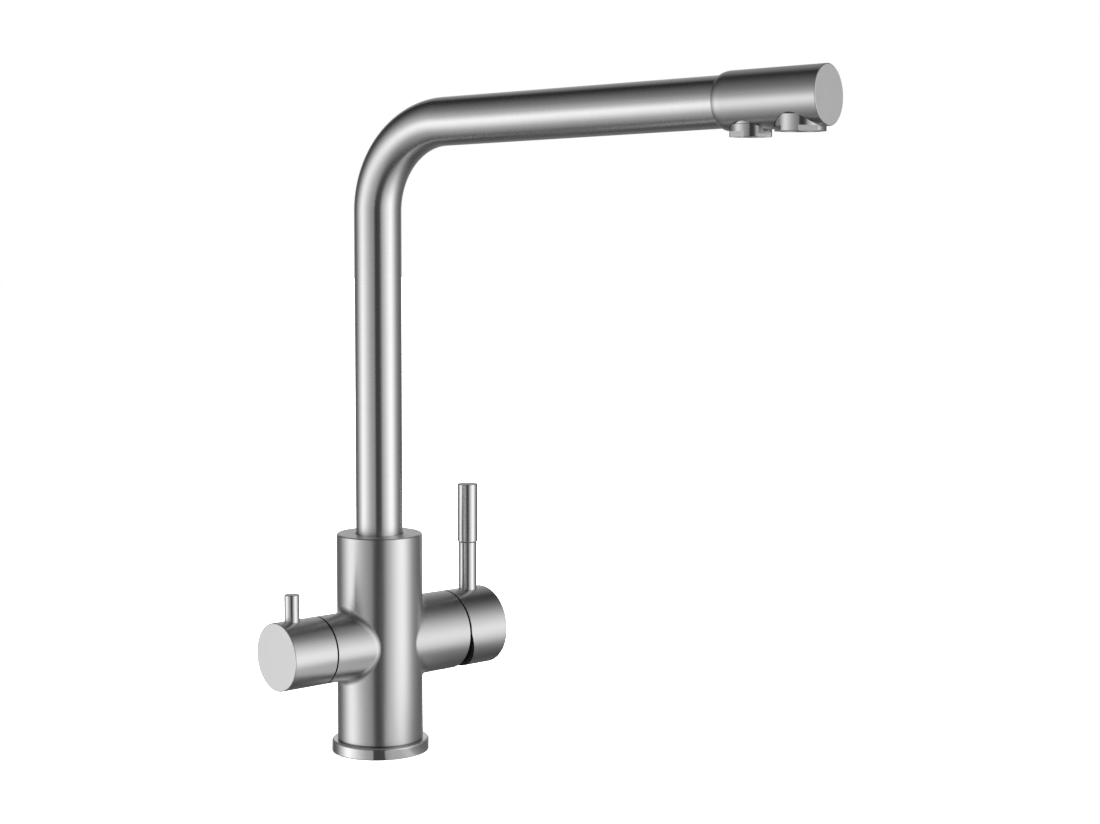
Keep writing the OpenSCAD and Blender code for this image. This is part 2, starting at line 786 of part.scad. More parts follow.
// Barrel of an outlet: a threaded ring with a lip that holds its insert, four flats below, and
// where it has one a turned neck above
module barrel(r, drop, seat, lip, across, angle, neck = 0) {
    top = -seat - outlet_washer_t;
    shoulder = top - neck;
    difference() {
        rotate_extrude() polygon([
            [lip, -drop], [r - barrel_edge, -drop], [r, -drop + barrel_edge], [r, shoulder - barrel_edge],
            [r - barrel_edge, shoulder],
            if (neck > 0) each [[r - barrel_neck_in, shoulder], [r - barrel_neck_in, top]],
            [lip + 1, top], [lip + 1, -drop + 1.5], [lip, -drop + 1.5]
        ]);
        flats(across, -drop, flat_h, angle);
    }
}

module aerator_barrel() {
    color("silver") outlet_frame(aerator_at)
        barrel(aerator_r, aerator_drop, aerator_seat, aerator_r - 2.8, aerator_d - 2, -43.5);
}

module aerator_insert() {
    color("whitesmoke") outlet_frame(aerator_at) translate([0, 0, -aerator_drop + 1.5]) difference() {
        cylinder(h = 5, r = aerator_r - 1.8 - fit_gap);
        comb(aerator_r - 3.2, 2.6, 1.25, 5);
    }
}

module aerator_washer() {
    color("dimgray") outlet_frame(aerator_at)
        collar(-aerator_seat - outlet_washer_t, -aerator_seat, aerator_r - 3, aerator_r);
}

module filter_barrel() {
    color("silver") outlet_frame(pure_out_at)
        barrel(pure_r, pure_drop, pure_seat, pure_r - 2.8, pure_d - 2, -15.8, pure_neck);
}

module filter_insert() {
    color("whitesmoke") outlet_frame(pure_out_at) translate([0, 0, -pure_drop + 1.5]) difference() {
        cylinder(h = 5, r = pure_r - 1.8 - fit_gap);
        comb(pure_r - 3.2, 2.6, 1.25, 5);
    }
}

module filter_washer() {
    color("dimgray") outlet_frame(pure_out_at)
        collar(-pure_seat - outlet_washer_t, -pure_seat, pure_r - 3, pure_r);
}

base_ring();
base_seal();
body();
inlet_block();
inlet_gasket();
filter_riser();
riser_o_ring();
thrust_washer();
lock_screw();
cartridge_gasket();
cartridge_base();
fixed_disc();
cartridge_housing();
cartridge_nut();
seat_seal();
valve_body();
valve_fixed_disc();
rotor();
pivot_pin();
cartridge_dome();
moving_disc();
disc_carrier();
stem();
mixer_cap();
cap_screw();
lever_rod();
lever_sleeve();
valve_moving_disc();
valve_spindle();
spindle_o_ring();
filter_knob();
knob_screw();
filter_pin();
spout_tube();
spout_foot();
lower_glide_ring();
upper_glide_ring();
lower_foot_o_ring();
upper_foot_o_ring();
filter_line();
outlet_head();
head_o_ring();
aerator_barrel();
aerator_insert();
aerator_washer();
filter_barrel();
filter_insert();
filter_washer();
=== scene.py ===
"""Looks of a kitchen mixer tap with a drinking water way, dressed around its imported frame."""
import json
import math

import bmesh
import bpy
from mathutils import Matrix, Vector


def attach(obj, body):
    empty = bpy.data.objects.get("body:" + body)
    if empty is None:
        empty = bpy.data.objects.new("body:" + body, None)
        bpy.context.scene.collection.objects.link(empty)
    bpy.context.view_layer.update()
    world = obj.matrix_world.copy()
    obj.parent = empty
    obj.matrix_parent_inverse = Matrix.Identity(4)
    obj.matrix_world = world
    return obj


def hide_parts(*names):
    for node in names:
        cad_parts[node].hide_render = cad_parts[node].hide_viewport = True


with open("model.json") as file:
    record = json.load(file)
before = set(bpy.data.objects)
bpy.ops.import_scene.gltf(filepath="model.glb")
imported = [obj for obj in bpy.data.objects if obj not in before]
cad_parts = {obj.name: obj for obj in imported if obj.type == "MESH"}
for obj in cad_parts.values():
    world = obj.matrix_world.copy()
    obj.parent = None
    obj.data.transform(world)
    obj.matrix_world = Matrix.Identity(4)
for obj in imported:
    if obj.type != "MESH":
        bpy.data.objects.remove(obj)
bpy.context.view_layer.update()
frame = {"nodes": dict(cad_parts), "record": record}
nodes = frame["nodes"]

# A millimetre in metres, and how near two places in metres are the same
MM = 0.001
TOUCH = 1e-5

# Sizes in millimetres and degrees, after the solids, with wider seams behind the cap and the knob
HANDLE_Z = 59.5
COLUMN_R = 23.0
FIT = 0.02
# Base ring and the groove of its seal
BASE_R = 26.0
BASE_H = 6.4
BASE_IN = 21.02
RIM_R = 1.2
GROOVE_IN = 22.61
GROOVE_OUT = 24.41
GROOVE_H = 1.5
# Spout tube
TUBE_R = 12.5
TUBE_IN = 11.0
TUBE_Z = 106.3
ARM_Z = 334.5
ARM_RISE = 2.0
BEND_R = 46.5
SPOUT_TURN = 13.8
# Outlet head: its spigot with the O-ring's groove and the filter line's seat, counted back from where
# the head begins, and its two waterways
REACH = 265.0
HEAD_AT = 210.3
HEAD_R = 14.25
SHOULDER_L = 5.2
SPIGOT_L = 12.0
SPIGOT_R = TUBE_IN - FIT
O_RING_FROM = 6.0
O_RING_TO = 4.0
O_RING_R = 9.7
LINE_DROP = 5.0
LINE_R = 4.0
LINE_BORE = 2.5
LINE_SEAT = 4.0
MIXED_RISE = 5.2
MIXED_BORE = 4.0
# Outlets: place along the arm, then the tops of the seat and the waterway in the head, then the barrel,
# with the width across its flats and their turn
FILTER = {"at": 224.4, "seat": -7.4, "way": -0.9, "radius": 10.0, "drop": 17.25, "top": -9.0,
          "neck": 2.2, "across": 18.0, "flats": -15.8}
AERATOR = {"at": 250.5, "seat": -6.4, "way": 1.0, "radius": 12.0, "drop": 15.95, "top": -8.0,
           "neck": 0.0, "across": 22.0, "flats": -43.5}
BARREL_GAP = 0.2
SEAT_LIP = 2.0
LIP_W = 2.8
LIP_H = 1.5
BARREL_WALL = 1.8
NECK_IN = 0.6
FLAT_H = 2.6
# Mixer cap, lever rod and grip sleeve
CAP_REAR = 46.7
CAP_END = 72.0
CAP_R = 21.5
CAP_IN = 19.5
CAP_FLOOR = 54.2
WEDGE = 18.0
WEDGE_RISE = 0.4
STEM_END = 66.0
STEM_HALF = 4.0
ROD_X = 61.2
ROD_R = 5.0
ROD_SEAT = 75.0
ROD_PEG_R = 3.0
ROD_PEG_L = 8.0
CORE_R = 3.5
CORE_ROOM = 1.0
SLEEVE_Z = 107.0
SLEEVE_TOP = 139.5
SLEEVE_R = 5.6
SLEEVE_CROWN = 2.0
# Filter knob and its pin
KNOB_REAR = 40.75
KNOB_END = 67.2
KNOB_R = 18.0
KNOB_IN = 14.7
KNOB_FLOOR = 51.0
SPINDLE_END = 61.5
SPINDLE_R = 4.0
PIN_X = 57.0
PIN_R = 4.0
PIN_SEAT = 71.5
PIN_TOP = 91.4
PIN_PEG_R = 2.5
PIN_PEG_L = 5.0
# Holes in both handles: room under a peg, and the screw's hole from below
PEG_ROOM = 0.3
SCREW_HOLE_R = 2.0
# How far a cutter reaches past a face, and past the whole piece
OVER = 1.0
CLEAR = 30.0
# Brushing on the faces that a block cuts, in turns per metre
BLOCK_TURNS = 4

# Not in the solids: the seams under the sleeve and before the head, and the fillets of the welds, with
# the depth of their roots and the way from row to row for the brushing
SEAM = 0.2
WELD_R = 4.0
WELD_ROOT = 0.5
WELD_ROW = 0.5

# Roundings of the edges, the tube's ends being chamfered
TUBE_EDGE = 0.3
GROOVE_EDGE = 0.1
MOUTH_EDGE = 0.2
FOOT_EDGE = 0.4
REAR_EDGE = 0.35
END_EDGE = 0.55
KNOB_FLOOR_EDGE = 0.4
CAP_FLOOR_EDGE = 0.6
PIN_PEG_EDGE = 0.2
PIN_EDGE = 0.45
ROD_PEG_EDGE = 0.3
ROD_EDGE = 0.25
CORE_EDGE = 0.3
SLEEVE_EDGE = 0.5
SPIGOT_EDGE = 0.3
NOSE_EDGE = 0.5
LIP_EDGE = 0.25
BARREL_EDGE = 0.35
SHANK_EDGE = 0.3
NECK_EDGE = 0.1

# Steps around the pieces, and along the curves of their outlines
STEPS = 128
LARGE_STEPS = 192
SMALL_STEPS = 72
CUTTER_STEPS = 96
WELD_STEPS = 160
ARC_STEPS = 7
SHOULDER_STEPS = 12
BEND_STEPS = 60
WELD_ROWS = 9

# Angles in degrees from which an edge is sharp
TURNED_SHARP = 22
TUBE_SHARP = 30
WELD_SHARP = 40
# Cosines from which a face counts as square to a direction, from loose to strict
NEARLY = 0.94
FLAT = 0.99
EXACT = 0.999
# Slack in millimetres when faces are chosen by their place
SLACK = 0.1
# Slopes between which the ring's rounding is its rim, rougher satin and lighter than the ring, a painted
# highlight
RIM_FROM = 0.45
RIM_TO = 0.9


def turn(degrees, axis):
    return Matrix.Rotation(math.radians(degrees), 4, axis)


def shift(x, y, z):
    return Matrix.Translation(Vector((x, y, z)) * MM)


SPOUT = turn(SPOUT_TURN - 90, "Z")
ARM = SPOUT @ shift(0, 0, ARM_Z) @ turn(-ARM_RISE, "Y") @ turn(90, "Y")
ALONG_X = shift(0, 0, HANDLE_Z) @ turn(90, "Y")
BACK_X = shift(0, 0, HANDLE_Z) @ turn(-90, "Y")


def upright(at):
    """Upright frame on the arm's axis, at a distance along the arm."""
    rise = math.radians(ARM_RISE)
    return SPOUT @ shift(at * math.cos(rise), 0, ARM_Z + at * math.sin(rise))


def angles(count):
    """Even steps around a full turn."""
    return [2 * math.pi * k / count for k in range(count)]


def put(name, shape, place):
    """Object of a finished bmesh, at its place."""
    bmesh.ops.recalc_face_normals(shape, faces=shape.faces[:])
    mesh = bpy.data.meshes.new(name)
    shape.to_mesh(mesh)
    shape.free()
    piece = bpy.data.objects.new(name, mesh)
    piece.matrix_world = place
    bpy.context.scene.collection.objects.link(piece)
    return piece


def rounded(corners, loop):
    """Outline through corners (radius, height, fillet), each fillet drawn as an arc."""
    points = []
    count = len(corners)
    for index, (radius, height, fillet) in enumerate(corners):
        here = Vector((radius, height))
        if fillet == 0 or (not loop and index in (0, count - 1)):
            points.append(here)
            continue
        before = (Vector(corners[index - 1][:2]) - here).normalized()
        after = (Vector(corners[(index + 1) % count][:2]) - here).normalized()
        half = before.angle(after) / 2
        centre = here + (before + after).normalized() * (fillet / math.sin(half))
        first = here + before * (fillet / math.tan(half)) - centre
        last = here + after * (fillet / math.tan(half)) - centre
        start = math.atan2(first.y, first.x)
        sweep = math.remainder(math.atan2(last.y, last.x) - start, 2 * math.pi)
        for step in range(ARC_STEPS + 1):
            angle = start + sweep * step / ARC_STEPS
            points.append(centre + Vector((math.cos(angle), math.sin(angle))) * fillet)
    return points


def skin(shape, layer, rings, travel, loop):
    """Faces between neighbouring rings, with the way along the outline and the turn as UV."""
    count = max(len(ring) for ring in rings)
    pairs = [(i, i + 1) for i in range(len(rings) - 1)]
    if loop:
        pairs.append((len(rings) - 1, 0))
    for low, high in pairs:
        end = travel[high] if high > low else travel[-1]
        for k in range(count):
            corners = []
            for row, along, step in (
                (low, travel[low], k),
                (low, travel[low], k + 1),
                (high, end, k + 1),
                (high, end, k),
            ):
                ring = rings[row]
                vertex = ring[step % len(ring)]
                if all(vertex is not used for used, _ in corners):
                    corners.append((vertex, (along, step / count)))
            face = shape.faces.new([vertex for vertex, _ in corners])
            face.smooth = True
            for corner, (_, uv) in zip(face.loops, corners):
                corner[layer].uv = uv


def lathe(name, corners, place, steps=STEPS, loop=False):
    """Turned solid about local Z. The outline runs from axis to axis, or closes on itself."""
    outline = [point * MM for point in rounded(corners, loop)]
    shape = bmesh.new()
    layer = shape.loops.layers.uv.new("brush")
    rings = []
    travel = [0.0]
    for index, point in enumerate(outline):
        if index:
            travel.append(travel[-1] + (point - outline[index - 1]).length)
        ring = []
        for angle in angles(steps if point.x > TOUCH else 1):
            spot = (point.x * math.cos(angle), point.x * math.sin(angle), point.y)
            ring.append(shape.verts.new(spot))
        rings.append(ring)
    if loop:
        travel.append(travel[-1] + (outline[0] - outline[-1]).length)
    skin(shape, layer, rings, travel, loop)
    return put(name, shape, place)


def bar(radius, low, high, place):
    """Cutter: a round bar along local Z."""
    corners = [(0, low, 0), (radius, low, 0), (radius, high, 0), (0, high, 0)]
    return lathe("cutter", corners, place, CUTTER_STEPS)


def block(low, high, place):
    """Cutter: a box between two corners."""
    shape = bmesh.new()
    bmesh.ops.create_cube(shape, size=1)
    layer = shape.loops.layers.uv.new("brush")
    low = Vector(low) * MM
    high = Vector(high) * MM
    for vertex in shape.verts:
        vertex.co = Vector(low[i] if vertex.co[i] < 0 else high[i] for i in range(3))
    for face in shape.faces:
        for corner in face.loops:
            spot = corner.vert.co
            corner[layer].uv = (spot.z, (spot.x + spot.y) * BLOCK_TURNS)
    return put("cutter", shape, place)


def cut(piece, cutters):
    """Take the cutters out of a piece and drop them."""
    for cutter in cutters:
        modifier = piece.modifiers.new("cut", "BOOLEAN")
        modifier.operation = "DIFFERENCE"
        modifier.solver = "MANIFOLD"
        modifier.object = cutter
    depsgraph = bpy.context.evaluated_depsgraph_get()
    made = bpy.data.meshes.new_from_object(
        piece.evaluated_get(depsgraph), preserve_all_data_layers=True, depsgraph=depsgraph
    )
    piece.modifiers.clear()
    piece.data = made
    for cutter in cutters:
        bpy.data.objects.remove(cutter)


def settle(piece, corners):
    """True normals on straight walls and flat ends, so that the small roundings shade as such."""
    mesh = piece.data
    mesh.set_sharp_from_angle(angle=math.radians(TURNED_SHARP))
    walls = set()
    flats = set()
    for (r_a, h_a, _), (r_b, h_b, _) in zip(corners, corners[1:] + corners[:1]):
        if r_a == r_b and r_a > 0:
            walls.add(r_a * MM)
        if h_a == h_b:
            flats.add(h_a * MM)
    normals = [Vector(corner.vector) for corner in mesh.corner_normals]
    for face in mesh.polygons:
        for index in face.loop_indices:
            spot = mesh.vertices[mesh.loops[index].vertex_index].co
            around = Vector((spot.x, spot.y, 0))
            far = around.length
            side = around.normalized() if far > TOUCH else Vector((1, 0, 0))
            lean = face.normal.dot(side)
            if any(abs(far - wall) < TOUCH for wall in walls) and abs(lean) > NEARLY:
                normals[index] = side * math.copysign(1, lean)
            elif any(abs(spot.z - flat) < TOUCH for flat in flats) and abs(face.normal.z) > NEARLY:
                normals[index] = Vector((0, 0, math.copysign(1, face.normal.z)))
    mesh.normals_split_custom_set(normals)


# Finishes

# Marks, grain and clouds per metre
FINE_MARKS = 4200
BROAD_MARKS = 520
BRUSHED_CLOUDS = 38
FACED_GRAIN = 2600
FACED_CLOUDS = 90
PLAIN_CLOUDS = 60
# How fast the marks change around a turned piece, and across the column and the side cylinders
TURNED_ROUND = 1.6
COLUMN_ROUND = 70
SIDE_ROUND = 80
# Share of the fine marks in all marks, of the marks in the tone, and of the grain in the tone
FINE_SHARE = 0.6
MARKS_SHARE = 0.7
FACED_SHARE = 0.6
PLAIN_SHARE = 0.5
# How far brightness and roughness go with the tone
BRUSHED_TONE = 0.05
BRUSHED_GLOSS = 0.035
FACED_TONE = 0.02
FACED_GLOSS = 0.03
PLAIN_GLOSS = 0.07
# Strength of the bump on flat ends, and depths of the bumps in metres
FACED_RELIEF = 0.03
STEEL_BUMP = 0.00001
PLAIN_BUMP = 0.00004
# Span of most of a noise's values
NOISE_LOW = 0.25
NOISE_HIGH = 0.75
# Body: slack around the column, outside which the side cylinders begin, and the bore in the housing,
# in millimetres, then the near black that paints shade into the bore and onto the ends of the stub
# and housing
COLUMN_SLACK = 0.05
BORE_R = 19.6
BORE_FROM = 30
PAINTED_SHADE_COLOUR = (0.015, 0.015, 0.015, 1)
# Angle of the camera's side around the tap, in degrees, from which the light is counted
CAMERA_SIDE = 233.0


class Nodes:
    """Shader nodes in one tree."""

    def __init__(self, tree):
        self.tree = tree

    def node(self, kind, **values):
        made = self.tree.nodes.new(kind)
        for key, value in values.items():
            setattr(made, key, value)
        return made

    def link(self, source, target):
        self.tree.links.new(source, target)

    def feed(self, socket, value):
        """Link an output to a socket, or set the socket to a constant."""
        if isinstance(value, bpy.types.NodeSocket):
            self.link(value, socket)
        else:
            socket.default_value = value

    def math(self, operation, first, second=0.0):
        made = self.node("ShaderNodeMath", operation=operation)
        self.feed(made.inputs[0], first)
        self.feed(made.inputs[1], second)
        return made.outputs[0]

    def times(self, value, factor):
        return self.math("MULTIPLY", value, factor)

    def weigh(self, first, share, second):
        """Mean of two values, with the share that the first has in it."""
        return self.math("ADD", self.times(first, share), self.times(second, 1 - share))

    def far(self, x, y):
        """Distance from an axis."""
        return self.math("SQRT", self.math("ADD", self.math("POWER", x, 2), self.math("POWER", y, 2)))

    def around(self, x, y):
        """Turn about Z from 0 to 1, growing to the camera's right, with its side at a half.

        Half a turn puts the side there, and two whole ones keep the sum above zero.
        """
        whole = self.math("DIVIDE", self.math("ARCTAN2", y, x), 2 * math.pi)
        return self.math("FRACT", self.math("ADD", whole, 2.5 - CAMERA_SIDE / 360))

    def join(self, x, y, z):
        made = self.node("ShaderNodeCombineXYZ")
        for socket, value in zip(made.inputs, (x, y, z)):
            self.feed(socket, value)
        return made.outputs[0]

    def split(self, vector):
        made = self.node("ShaderNodeSeparateXYZ")
        self.link(vector, made.inputs[0])
        return made.outputs

    def mix(self, kind, factor, first, second):
        """First where factor is 0, second where it is 1, both of one data type."""
        made = self.node("ShaderNodeMix", data_type=kind)
        self.feed(made.inputs["Factor"], factor)
        self.feed(made.inputs["A"], first)
        self.feed(made.inputs["B"], second)
        return made.outputs["Result"]

    def remap(self, value, start, stop, low=0.0, high=1.0, kind="LINEAR"):
        """Values from start to stop, spread between low and high."""
        made = self.node("ShaderNodeMapRange", interpolation_type=kind)
        self.link(value, made.inputs["Value"])
        made.inputs["From Min"].default_value = start
        made.inputs["From Max"].default_value = stop
        made.inputs["To Min"].default_value = low
        made.inputs["To Max"].default_value = high
        return made.outputs["Result"]

    def ramp(self, value, stops):
        """Level at a value from 0 to 1, with the stops (degrees, level) spread over it."""
        made = self.node("ShaderNodeValToRGB")
        made.color_ramp.interpolation = "LINEAR"
        elements = made.color_ramp.elements
        elements.remove(elements[1])
        low = stops[0][0]
        high = stops[-1][0]
        for index, (angle, level) in enumerate(stops):
            element = elements.new((angle - low) / (high - low)) if index else elements[0]
            element.color = (level, level, level, 1)
        self.link(value, made.inputs[0])
        return made.outputs[0]

    def surface(self, factor, first, second, output):
        """Mix of two shaders, as the surface of an output."""
        made = self.node("ShaderNodeMixShader")
        for source, socket in zip((factor, first, second), made.inputs):
            self.link(source, socket)
        self.link(made.outputs[0], self.tree.nodes[output].inputs["Surface"])


class Shade(Nodes):
    """A procedural material under construction."""

    def __init__(self, name):
        self.material = bpy.data.materials.new(name)
        self.material.use_nodes = True
        super().__init__(self.material.node_tree)
        self.shader = self.tree.nodes["Principled BSDF"]

    def place(self):
        return self.node("ShaderNodeTexCoord").outputs["Object"]

    def noise(self, vector, scale, detail=3, rough=0.5):
        made = self.node("ShaderNodeTexNoise")
        self.link(vector, made.inputs["Vector"])
        made.inputs["Scale"].default_value = scale
        made.inputs["Detail"].default_value = detail
        made.inputs["Roughness"].default_value = rough
        return made.outputs["Fac"]

    def span(self, tone, low, high):
        """A noise's tone, spread between low and high."""
        return self.remap(tone, NOISE_LOW, NOISE_HIGH, low, high)

    def tint(self, tone, dark, light):
        """Colour between dark and light, as the tone goes."""
        return self.mix("RGBA", self.span(tone, 0, 1), (*dark, 1), (*light, 1))

    def set(self, **values):
        for key, value in values.items():
            self.feed(self.shader.inputs[key.replace("_", " ")], value)

    def bump(self, height, strength, depth):
        made = self.node("ShaderNodeBump")
        made.inputs["Strength"].default_value = strength
        made.inputs["Distance"].default_value = depth
        self.link(height, made.inputs["Height"])
        self.link(made.outputs["Normal"], self.shader.inputs["Normal"])


def brushing(shade, along, round_x, round_y, tangent, roughness, spread, grey=0.7, relief=0.014):
    """Satin steel with fine marks that run around the piece."""
    fine = shade.noise(shade.join(shade.times(along, FINE_MARKS), round_x, round_y), 1, detail=2)
    broad = shade.noise(shade.join(shade.times(along, BROAD_MARKS), round_x, round_y), 1)
    cloud = shade.noise(shade.place(), BRUSHED_CLOUDS)
    marks = shade.weigh(fine, FINE_SHARE, broad)
    tone = shade.weigh(marks, MARKS_SHARE, cloud)
    shade.set(
        Base_Color=shade.tint(tone, [grey] * 3, [grey + BRUSHED_TONE] * 3),
        Metallic=1.0,
        Roughness=shade.span(tone, roughness - BRUSHED_GLOSS, roughness + BRUSHED_GLOSS),
        Anisotropic=spread,
        Tangent=tangent,
    )
    shade.bump(marks, relief, STEEL_BUMP)


def turned_steel(name, roughness, spread, **tones):
    """Brushed steel on pieces whose UVs run along and around them."""
    shade = Shade(name)
    uv = shade.split(shade.node("ShaderNodeUVMap", uv_map="brush").outputs[0])
    angle = shade.times(uv[1], 2 * math.pi)
    round_x = shade.times(shade.math("COSINE", angle), TURNED_ROUND)
    round_y = shade.times(shade.math("SINE", angle), TURNED_ROUND)
    tangent = shade.node("ShaderNodeTangent", direction_type="UV_MAP", uv_map="brush").outputs[0]
    brushing(shade, uv[0], round_x, round_y, tangent, roughness, spread, **tones)
    return shade.material


def body_steel(name, roughness, spread):
    """Brushed steel that runs around the column, and around the stub and housing beside it."""
    shade = Shade(name)
    x, y, z = shade.split(shade.place())
    up = shade.math("SUBTRACT", z, HANDLE_Z * MM)
    beside = shade.math("GREATER_THAN", shade.far(x, y), (COLUMN_R + COLUMN_SLACK) * MM)
    column = shade.join(z, shade.times(x, COLUMN_ROUND), shade.times(y, COLUMN_ROUND))
    side = shade.join(x, shade.times(y, SIDE_ROUND), shade.times(up, SIDE_ROUND))
    spot = shade.split(shade.mix("VECTOR", beside, column, side))
    facing = shade.split(shade.node("ShaderNodeNewGeometry").outputs["True Normal"])
    level = shade.math("GREATER_THAN", shade.math("ABSOLUTE", facing[2]), FLAT)
    across = shade.math("MAXIMUM", level, beside)
    tangent = shade.mix("VECTOR", across, (0, 0, 1), (1, 0, 0))
    brushing(shade, *spot, tangent, roughness, spread)
    # Painted shade: the housing's bore, and the ends of the stub and housing at the seams, are near
    # black
    in_bore = shade.math("LESS_THAN", shade.far(y, up), BORE_R * MM)
    bore = shade.times(in_bore, shade.math("GREATER_THAN", x, BORE_FROM * MM))
    end = shade.math("GREATER_THAN", shade.math("ABSOLUTE", facing[0]), EXACT)
    inside = shade.math("MAXIMUM", bore, shade.times(end, beside))
    colour = shade.shader.inputs["Base Color"].links[0].from_socket
    shade.set(Base_Color=shade.mix("RGBA", inside, colour, PAINTED_SHADE_COLOUR))
    return shade.material


def faced_steel(name, roughness, grey):
    """Flat ends, evenly satin with a fine grain."""
    shade = Shade(name)
    spot = shade.place()
    grain = shade.noise(spot, FACED_GRAIN)
    tone = shade.weigh(grain, FACED_SHARE, shade.noise(spot, FACED_CLOUDS))
    shade.set(
        Base_Color=shade.tint(tone, [grey - FACED_TONE] * 3, [grey + FACED_TONE] * 3),
        Metallic=1.0,
        Roughness=shade.span(tone, roughness - FACED_GLOSS, roughness + FACED_GLOSS),
    )
    shade.bump(grain, FACED_RELIEF, STEEL_BUMP)
    return shade.material


def grained(name, dark, light, roughness, grains, bump, metallic=0.0, shine=0.5):
    """Plain material with fine grain and slow clouds in its colour and gloss."""
    shade = Shade(name)
    spot = shade.place()
    grain = shade.noise(spot, grains, detail=4, rough=0.6)
    tone = shade.weigh(grain, PLAIN_SHARE, shade.noise(spot, PLAIN_CLOUDS))
    shade.set(
        Base_Color=shade.tint(tone, dark, light),
        Metallic=metallic,
        Roughness=shade.span(tone, roughness - PLAIN_GLOSS, roughness + PLAIN_GLOSS),
        Specular_IOR_Level=shine,
    )
    shade.bump(grain, bump, PLAIN_BUMP)
    return shade.material


steel = turned_steel("brushed_steel", roughness=0.34, spread=0.82)
# Painted shade: a darker copy of the brushed steel for the outlet head, where its reflection of the
# light is dimmer
shaded_head_steel = turned_steel("brushed_head_steel", roughness=0.34, spread=0.82, grey=0.64)
barrel_steel = turned_steel("fine_barrel_steel", roughness=0.2, spread=0.7, grey=0.52)
ring_steel = turned_steel("polished_steel", roughness=0.08, spread=0.5, grey=0.58)
tube_steel = turned_steel("drawn_steel", roughness=0.28, spread=0.9, relief=0.005)
end_steel = faced_steel("faced_steel", roughness=0.44, grey=0.87)
nose_steel = faced_steel("faced_nose_steel", roughness=0.56, grey=0.9)
# Painted shade: a darker copy of the faced steel for the tops of the pin and sleeve
shaded_tip_steel = faced_steel("faced_tip_steel", roughness=0.34, grey=0.45)
# Near black that paints shade into hollows and seams, where the real pieces are steel
shade_black = grained(
    "painted_shade_black", (0.004, 0.004, 0.004), (0.01, 0.01, 0.01), 0.7, 1800, 0.2, shine=0.08
)
# Finish of each slot: name, dark and light colour, roughness, grains per metre, bump and metallic
PLAIN = {
    "plain_steel": ("turned_screw_steel", (0.42, 0.42, 0.43), (0.58, 0.58, 0.59), 0.34, 2400, 0.15, 1.0),
    "brass": ("machined_brass", (0.62, 0.46, 0.2), (0.78, 0.6, 0.3), 0.32, 1800, 0.15, 1.0),
    "rubber": ("black_rubber", (0.012, 0.012, 0.013), (0.032, 0.032, 0.033), 0.68, 2600, 0.3),
    "ceramic": ("lapped_ceramic", (0.8, 0.79, 0.76), (0.89, 0.885, 0.87), 0.22, 3200, 0.05),
    "white_plastic": ("white_plastic", (0.76, 0.76, 0.74), (0.86, 0.86, 0.84), 0.42, 2200, 0.12),
    "grey_plastic": ("grey_plastic", (0.2, 0.205, 0.215), (0.29, 0.295, 0.305), 0.46, 2200, 0.15),
    "black_plastic": ("black_plastic", (0.008, 0.008, 0.008), (0.02, 0.02, 0.021), 0.5, 2200, 0.2),
}
finishes = {slot: grained(*values) for slot, values in PLAIN.items()}
finishes["steel"] = body_steel("brushed_body", roughness=0.36, spread=0.82)

for row in frame["record"]["subparts"]:
    piece = nodes[row["node"]]
    piece.data.materials.clear()
    piece.data.materials.append(finishes[row["material_slot"]])

# Pieces

# Places of the second finish that dress gives, and of the third, the black that paints shade
ENDS = 1
DARK = 2


def dress(piece, body, material, *replaced, ends=end_steel):
    """Give a piece its finishes and body, and let it stand for a node."""
    piece.data.materials.clear()
    # The third finish is the black that paints shade
    for finish in (material, ends, shade_black):
        piece.data.materials.append(finish)
    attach(piece, body)
    if replaced:
        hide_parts(*replaced)


def turned(node, body, material, corners, place, cutters=(), steps=STEPS, loop=False, ends=end_steel):
    """Turned piece that stands for a node, less its cutters."""
    piece = lathe(node + "_turned", corners, place, steps, loop)
    if cutters:
        cut(piece, cutters)
    settle(piece, corners)
    dress(piece, body, material, node, ends=ends)
    return piece


def paint(piece, finish, chosen):
    """Give another finish to the faces that a test chooses."""
    for face in piece.data.polygons:
        if chosen(face):
            face.material_index = finish


def flat_at(height):
    """Test for the flat faces at a height."""
    return lambda face: abs(face.normal.z) > FLAT and abs(face.center.z - height * MM) < TOUCH


def off_axis(face):
    """Distance of a face from its piece's axis, in millimetres."""
    return math.hypot(face.center.x, face.center.y) / MM


def bored(radius, low, high):
    """Test for the inside of a bore, up to its floor."""
    def chosen(face):
        height = face.center.z / MM
        return off_axis(face) < radius + SLACK and low - SLACK < height < high + SLACK

    return chosen


def rimmed(face):
    """Test for the base ring's rim."""
    return off_axis(face) > BASE_R - RIM_R and RIM_FROM < face.normal.z < RIM_TO


def wedged(face):
    """Test for the mixer cap's rear and for the slanted cut in it."""
    slant = math.radians(WEDGE)
    rear = face.normal.z < -FLAT and face.center.z < (CAP_REAR + SLACK) * MM
    return rear or abs(face.normal.dot(Vector((math.sin(slant), 0, -math.cos(slant))))) > EXACT


def handle_holes(radius, peg_r, peg_l, seat, top, handle_r, place):
    """Cutters for a rod and its peg in a handle, and for the screw from below."""
    return [
        bar(radius + FIT, seat, top, place),
        bar(peg_r + FIT, seat - peg_l - PEG_ROOM, seat + OVER, place),
        bar(SCREW_HOLE_R, HANDLE_Z - 2 * handle_r, HANDLE_Z, place),
    ]


# Base ring, polished, with a rim where its wall turns into its top: a rougher satin finish and a painted
# highlight
ring = turned("base_ring", "tap_body", ring_steel, [
    (BASE_IN, 0, MOUTH_EDGE), (GROOVE_IN, 0, GROOVE_EDGE), (GROOVE_IN, GROOVE_H, 0),
    (GROOVE_OUT, GROOVE_H, 0), (GROOVE_OUT, 0, GROOVE_EDGE), (BASE_R, 0, FOOT_EDGE),
    (BASE_R, BASE_H, RIM_R), (BASE_IN, BASE_H, MOUTH_EDGE),
], Matrix.Identity(4), loop=True)
# Painted highlight: the rim takes the faced steel, which is lighter than the polished ring
paint(ring, ENDS, rimmed)

